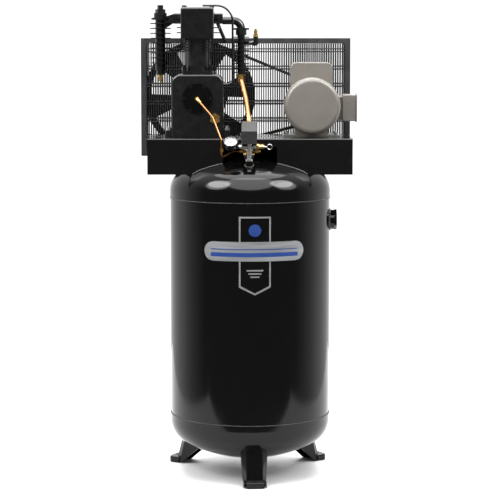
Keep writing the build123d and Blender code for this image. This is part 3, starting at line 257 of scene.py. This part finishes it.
FINISHES = {
    oven_enamel: ["front_bearing_cover", "tank_shell", "top_head", "bottom_head", "tank_legs",
                  "tank_couplings"],
    deck_enamel: ["deck"],
    guard_enamel: ["guard_frame", "guard_front_grille", "guard_rear_grille"],
    painted_casting: ["crankcase", "rear_bearing_cover", "front_cylinder", "rear_cylinder",
                      "cylinder_head", "flywheel", "intercooler", "aftercooler", "motor_pulley"],
    black_sheet: ["pump_bolts", "filter_housing", "breather_tube", "gauge_case"],
    motor_enamel: ["motor_housing", "fan_cover", "capacitor_cover", "conduit_box", "conduit_lid"],
    bright_zinc: ["deck_bolts", "manifold", "drain_handle", "safety_ring"],
    machined_steel: ["crank_bearings", "crankshaft", "connecting_rods", "valve_plate", "rotor", "stator",
                     "motor_bearings", "switch_lever"],
    turned_brass: ["check_valve", "oil_fittings", "safety_valves", "tube_fittings", "drain_valve"],
    drawn_copper: ["discharge_tube", "unloader_tube"],
    cast_alloy: ["pistons", "end_bells", "capacitors"],
    belt_rubber: ["drive_belts"],
    moulded_black: ["cooling_fan", "pressure_switch", "switch_cover"],
    filter_paper: ["filter_element"],
    dial_white: ["gauge_dial"],
    dial_ink: ["gauge_pointer"],
    lens_glass: ["gauge_lens"],
}


def paint_nodes():
    """Gives every carried-over node its finish."""
    made = {}
    for build, names in FINISHES.items():
        made[build] = build()
        for name in names:
            slots = nodes[name].data.materials
            slots.clear()
            slots.append(made[build])
    cover = nodes["switch_cover"].data
    cover.materials.append(sloped_grey())
    for face in cover.polygons:
        if face.normal.z > 0.4:
            face.material_index = 1
    fittings = nodes["oil_fittings"].data
    fittings.materials.append(made[black_sheet])
    middle = span("oil_fittings")[2].x - 12 * MM
    for face in fittings.polygons:
        if face.center.x < middle:
            face.material_index = 1
    return made


def clear_selection():
    """Nothing selected, object mode."""
    if bpy.context.object and bpy.context.object.mode != "OBJECT":
        bpy.ops.object.mode_set(mode="OBJECT")
    bpy.ops.object.select_all(action="DESELECT")


def settle(piece, name, finish_used):
    """Names a finished piece, puts its place in its mesh and lets it ride on the root body."""
    clear_selection()
    piece.select_set(True)
    bpy.context.view_layer.objects.active = piece
    bpy.ops.object.transform_apply(location=True, rotation=True, scale=True)
    piece.name = name
    piece.data.materials.clear()
    piece.data.materials.append(finish_used)
    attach(piece, "root")
    return piece


def joined(pieces):
    """Several objects as one mesh."""
    clear_selection()
    for piece in pieces:
        piece.select_set(True)
    bpy.context.view_layer.objects.active = pieces[0]
    bpy.ops.object.join()
    return bpy.context.object


def bar(start, end, radius, sides=8):
    """A round bar between two points, shaded smooth by angle."""
    clear_selection()
    start, end = Vector(start), Vector(end)
    bpy.ops.mesh.primitive_cylinder_add(vertices=sides, radius=radius, depth=(end - start).length)
    piece = bpy.context.object
    turn = (end - start).to_track_quat("Z", "Y").to_matrix().to_4x4()
    piece.data.transform(Matrix.Translation((start + end) / 2) @ turn)
    bpy.ops.object.shade_smooth_by_angle(angle=radians(50))
    return piece


def wire_panel(node, name, windows, radius, finish_used):
    """Round upright wires with pairs of cross wires, cut short round the shafts."""
    low, high, middle = span(node)
    y = middle.y
    pieces = []
    for i in range(UPRIGHT_WIRES + 1):
        x = low.x + radius + (high.x - low.x - 2 * radius) * i / UPRIGHT_WIRES
        cuts = [(wz - half, wz + half) for wx, wz, half in windows if abs(x - wx) < half]
        ends = [low.z] + [z for cut in cuts for z in cut] + [high.z]
        for start, end in zip(ends[::2], ends[1::2]):
            pieces.append(bar((x, y, start), (x, y, end), radius, 6))
    front = y - 2.0 * radius
    for level in CROSS_LEVELS:
        for lift in (-CROSS_PAIR, CROSS_PAIR):
            z = high.z - level * MM + lift
            cuts = [(wx - half, wx + half) for wx, wz, half in windows if abs(z - wz) < half]
            ends = [low.x] + [x for cut in cuts for x in cut] + [high.x]
            for start, end in zip(ends[::2], ends[1::2]):
                pieces.append(bar((start, front, z), (end, front, z), radius, 6))
    for wx, wz, half in windows:
        signs = ((-1, -1), (1, -1), (1, 1), (-1, 1), (-1, -1))
        corners = [(wx + sx * half, y, wz + sz * half) for sx, sz in signs]
        pieces += [bar(a, b, 1.6 * radius, 8) for a, b in zip(corners, corners[1:])]
    panel = settle(joined(pieces), name, finish_used)
    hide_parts(node)
    return panel


def ring(radius, count):
    """Points round a circle, the first one repeated at the end."""
    return [(radius * cos(2 * pi * i / count), radius * sin(2 * pi * i / count)) for i in range(count + 1)]


def weld_run(name, points, width):
    """A run of overlapping weld ripples along points."""
    clear_selection()
    bpy.ops.mesh.primitive_ico_sphere_add(subdivisions=2, radius=width / 2)
    ripple = bpy.context.object
    bpy.ops.object.shade_smooth()
    pieces = []
    for here, ahead in zip(points, points[1:]):
        copy = ripple.copy()
        copy.data = ripple.data.copy()
        bpy.context.collection.objects.link(copy)
        turn = (ahead - here).to_track_quat("X", "Z").to_matrix().to_4x4()
        copy.data.transform(Matrix.Translation(here) @ turn @ Matrix.Diagonal((0.75, 1.0, 0.8, 1.0)))
        pieces.append(copy)
    bpy.data.objects.remove(ripple)
    return settle(joined(pieces), name, weld_finish)


def wrapped(name, width, height, outline, centre_z, stand, finish_used):
    """A thin plate rolled round the shell. outline moves each point of a square of side 2 to its place."""
    clear_selection()
    bpy.ops.mesh.primitive_grid_add(x_subdivisions=48, y_subdivisions=24, size=2)
    piece = bpy.context.object
    radius = shell_radius + stand
    for vertex in piece.data.vertices:
        u, v = vertex.co.x, vertex.co.y
        across, up = outline(u, v)
        angle = across * width / 2 / radius + BADGE_TURN
        vertex.co = (radius * sin(angle), -radius * cos(angle), centre_z + up * height / 2)
    solid = piece.modifiers.new("Solidify", "SOLIDIFY")
    solid.thickness, solid.offset = 0.9 * MM, 1.0
    bpy.ops.object.modifier_apply(modifier="Solidify")
    bpy.ops.object.mode_set(mode="EDIT")
    bpy.ops.mesh.select_all(action="SELECT")
    bpy.ops.mesh.normals_make_consistent(inside=False)
    bpy.ops.object.mode_set(mode="OBJECT")
    bpy.ops.object.shade_smooth_by_angle(angle=radians(40))
    return settle(piece, name, finish_used)


def square(u, v):
    """Plate with straight sides."""
    return u, v


def disc(u, v):
    """Round plate."""
    return u * sqrt(max(0.0, 1 - v * v)), v


def pill(u, v):
    """Band with round ends."""
    end = BAND_HEIGHT / BAND_WIDTH
    return u * (1 - end + end * sqrt(max(0.0, 1 - v * v))), v


def shield(u, v):
    """Plate whose foot comes to a blunt point."""
    drop = 0.22 * (1 - abs(u)) * max(0.0, -v)
    return u, v - drop


def badge():
    """Plain silver band over a plain dark tab, with no lettering. Each layer stands a little further out."""
    rim, tab, band, top = 0.3 * MM, 1.3 * MM, 2.3 * MM, 3.3 * MM
    middle = (shell_low.z + shell_high.z) / 2 + BADGE_RISE
    foot = middle - 2 * MM
    stripe = BAND_WIDTH * 0.86
    wrapped("badge_tab_rim", TAB_WIDTH + TAB_RIM, TAB_HEIGHT + TAB_RIM, shield, foot, rim, silver)
    wrapped("badge_tab", TAB_WIDTH, TAB_HEIGHT, shield, foot, tab, made[oven_enamel])
    wrapped("badge_band", BAND_WIDTH, BAND_HEIGHT, pill, middle, band, silver)
    wrapped("badge_stripe", stripe, 15 * MM, square, middle - 12 * MM, top, blue)
    wrapped("badge_pinstripe", stripe, 3 * MM, square, middle + 8 * MM, top, blue)
    for step in range(3):
        level = middle - (70 + 12 * step) * MM
        wrapped("badge_bar_%d" % step, (62 - 14 * step) * MM, 5 * MM, square, level, band, silver)
    wrapped("badge_disc", 46 * MM, 46 * MM, disc, middle + 78 * MM, band, blue)


def welds():
    """Deck to dome, head seams, outlet and dome nipple."""
    deck_low, deck_high, _ = span("deck")
    top_low, top_high, _ = span("top_head")
    offset = top_high.x - HEAD_KNUCKLE
    centre = top_high.z - HEAD_CROWN

    def dome(x, y):
        """Height of the crown over a point."""
        return centre + sqrt(HEAD_CROWN**2 - x * x - y * y)

    def over(x, y):
        """Height of the head over a point, on its crown or on its knuckle."""
        r = sqrt(x * x + y * y)
        if r <= HEAD_CROWN * offset / (HEAD_CROWN - HEAD_KNUCKLE):
            return dome(x, y)
        tangent = centre + sqrt((HEAD_CROWN - HEAD_KNUCKLE) ** 2 - offset**2)
        return tangent + sqrt(max(0.0, HEAD_KNUCKLE**2 - (r - offset) ** 2))

    steps = 34
    for side, name in ((-1, "left"), (1, "right")):
        for y, where in ((deck_low.y - 2 * MM, "front"), (deck_high.y + 2 * MM, "rear")):
            along = [side * (DECK_WELD_START + DECK_WELD_RUN * i / steps) for i in range(steps + 1)]
            points = [Vector((x, y, over(x, y) + 1.5 * MM)) for x in along]
            weld_run("deck_weld_%s_%s" % (where, name), points, 8 * MM)
    radius = shell_radius + 0.6 * MM
    for z, name in ((top_low.z - 1 * MM, "upper_seam"), (span("bottom_head")[1].z + 1 * MM, "lower_seam")):
        weld_run(name, [Vector((a, b, z)) for a, b in ring(radius, 420)], 5 * MM)
    around = [(a, OUTLET_Z + b) for a, b in ring(OUTLET_WELD_RADIUS, 60)]
    points = [Vector((sqrt(shell_radius**2 - a * a) + 1 * MM, a, z)) for a, z in around]
    weld_run("outlet_weld", points, 7 * MM)
    around = [(NIPPLE[0] + a, NIPPLE[1] + b) for a, b in ring(NIPPLE_WELD_RADIUS, 30)]
    weld_run("nipple_weld", [Vector((x, y, dome(x, y))) for x, y in around], 6 * MM)


def gauge_details():
    """Bezel and scale marks of the gauge, plain ticks with no figures."""
    low, high, middle = span("gauge_lens")
    normal = Vector((0, -cos(GAUGE_TILT), sin(GAUGE_TILT)))
    right, up = Vector((1, 0, 0)), normal.cross(Vector((1, 0, 0)))
    radius = (high.x - low.x) / 2
    turn = Matrix((right, up, normal)).transposed().to_4x4()
    clear_selection()
    bpy.ops.mesh.primitive_torus_add(major_segments=72, minor_segments=12,
                                     major_radius=radius + 1.4 * MM, minor_radius=1.5 * MM)
    bezel = bpy.context.object
    bezel.data.transform(Matrix.Translation(middle + normal * 1.2 * MM) @ turn)
    bpy.ops.object.shade_smooth()
    settle(bezel, "gauge_bezel", made[black_sheet])
    ticks = []
    card = middle - normal * CARD_DEPTH
    for step in range(GAUGE_TICKS + 1):
        angle = radians(GAUGE_ZERO - GAUGE_SWEEP * step / GAUGE_TICKS)
        inner = radius * (0.68 if step % 5 == 0 else 0.78)
        spoke = right * cos(angle) + up * sin(angle)
        ticks.append(bar(card + spoke * inner, card + spoke * radius * 0.88, 0.35 * MM, 6))
    settle(joined(ticks), "gauge_scale", made[dial_ink])


def floor_and_light():
    """Pale floor, soft boxes, reflection cards and a sky that is dark in front, bright behind and above."""
    clear_selection()
    bpy.ops.mesh.primitive_plane_add(size=1)
    floor = bpy.context.object
    sized = Matrix.Diagonal((*FLOOR_SIZE, 1, 1))
    floor.data.transform(Matrix.Translation((0, FLOOR_BEHIND, -0.3 * MM)) @ sized)
    floor.name = "floor"
    floor.data.materials.append(finish("pale_floor", "#f2f2f2", "#f6f6f6", 900, (0.55, 0.6), 20, 0.01))
    world = bpy.data.worlds.new("studio")
    bpy.context.scene.world = world
    world.use_nodes = True
    tree = world.node_tree
    tree.nodes.clear()
    direction = add(tree, "ShaderNodeTexCoord").outputs["Generated"]
    parts = add(tree, "ShaderNodeSeparateXYZ", {"Vector": direction})
    ramp = add(tree, "ShaderNodeMapRange", {"Value": parts.outputs["Y"], "From Min": -0.35, "From Max": 0.35,
                                            "To Min": 0.2, "To Max": 1.15})
    lift = add(tree, "ShaderNodeMapRange", {"Value": parts.outputs["Z"], "From Min": 0.35, "From Max": 0.8,
                                            "To Min": 0.0, "To Max": 0.9})
    total = add(tree, "ShaderNodeMath", {0: ramp.outputs["Result"], 1: lift.outputs["Result"]},
                operation="ADD")
    seen = add(tree, "ShaderNodeLightPath").outputs["Is Camera Ray"]
    total = add(tree, "ShaderNodeMath", {0: total.outputs["Value"], 1: seen}, operation="MAXIMUM")
    sky = add(tree, "ShaderNodeBackground", {"Color": (1, 1, 1, 1), "Strength": total.outputs["Value"]})
    add(tree, "ShaderNodeOutputWorld", {"Surface": sky.outputs["Background"]})
    for name, place, size, power in LAMPS:
        lamp = bpy.data.lights.new(name, "AREA")
        lamp.shape, lamp.size, lamp.energy = "DISK", size, power
        holder = bpy.data.objects.new(name, lamp)
        bpy.context.collection.objects.link(holder)
        holder.location = place
        holder.rotation_euler = (Vector((0, 0, 0.9)) - Vector(place)).to_track_quat("-Z", "Y").to_euler()
        holder.visible_diffuse = not name.endswith("card")


def camera():
    """Long lens, a little above the deck, straight on."""
    lens = bpy.data.cameras.new("camera")
    lens.lens, lens.sensor_width, lens.shift_y = 132.96, 36.0, -0.08
    lens.clip_end = 200
    holder = bpy.data.objects.new("camera", lens)
    bpy.context.collection.objects.link(holder)
    holder.location = CAMERA_PLACE
    holder.rotation_euler = (radians(90 - CAMERA_DIP), 0, 0)
    bpy.context.scene.camera = holder


camera()
made = paint_nodes()
# The weld finish carries painted highlight: lighter grey mottling on the black beads.
weld_finish, silver, blue = weld_metal(), badge_silver(), badge_blue()
shell_low, shell_high, _ = span("tank_shell")
shell_radius = shell_high.x
crank_middle, rotor_middle = span("crankshaft")[2], span("rotor")[2]
shafts = [(crank_middle.x, crank_middle.z, CRANK_WINDOW), (rotor_middle.x, rotor_middle.z, MOTOR_WINDOW)]
wire_panel("guard_front_grille", "front_wires", shafts, FRONT_WIRE_RADIUS, made[guard_enamel])
# The rear wires carry a lighter grey: painted light for the back lamp behind them.
wire_panel("guard_rear_grille", "rear_wires", [], REAR_WIRE_RADIUS, backlit_wire_paint())
welds()
badge()
gauge_details()
floor_and_light()
bpy.context.scene.view_settings.view_transform = "Standard"
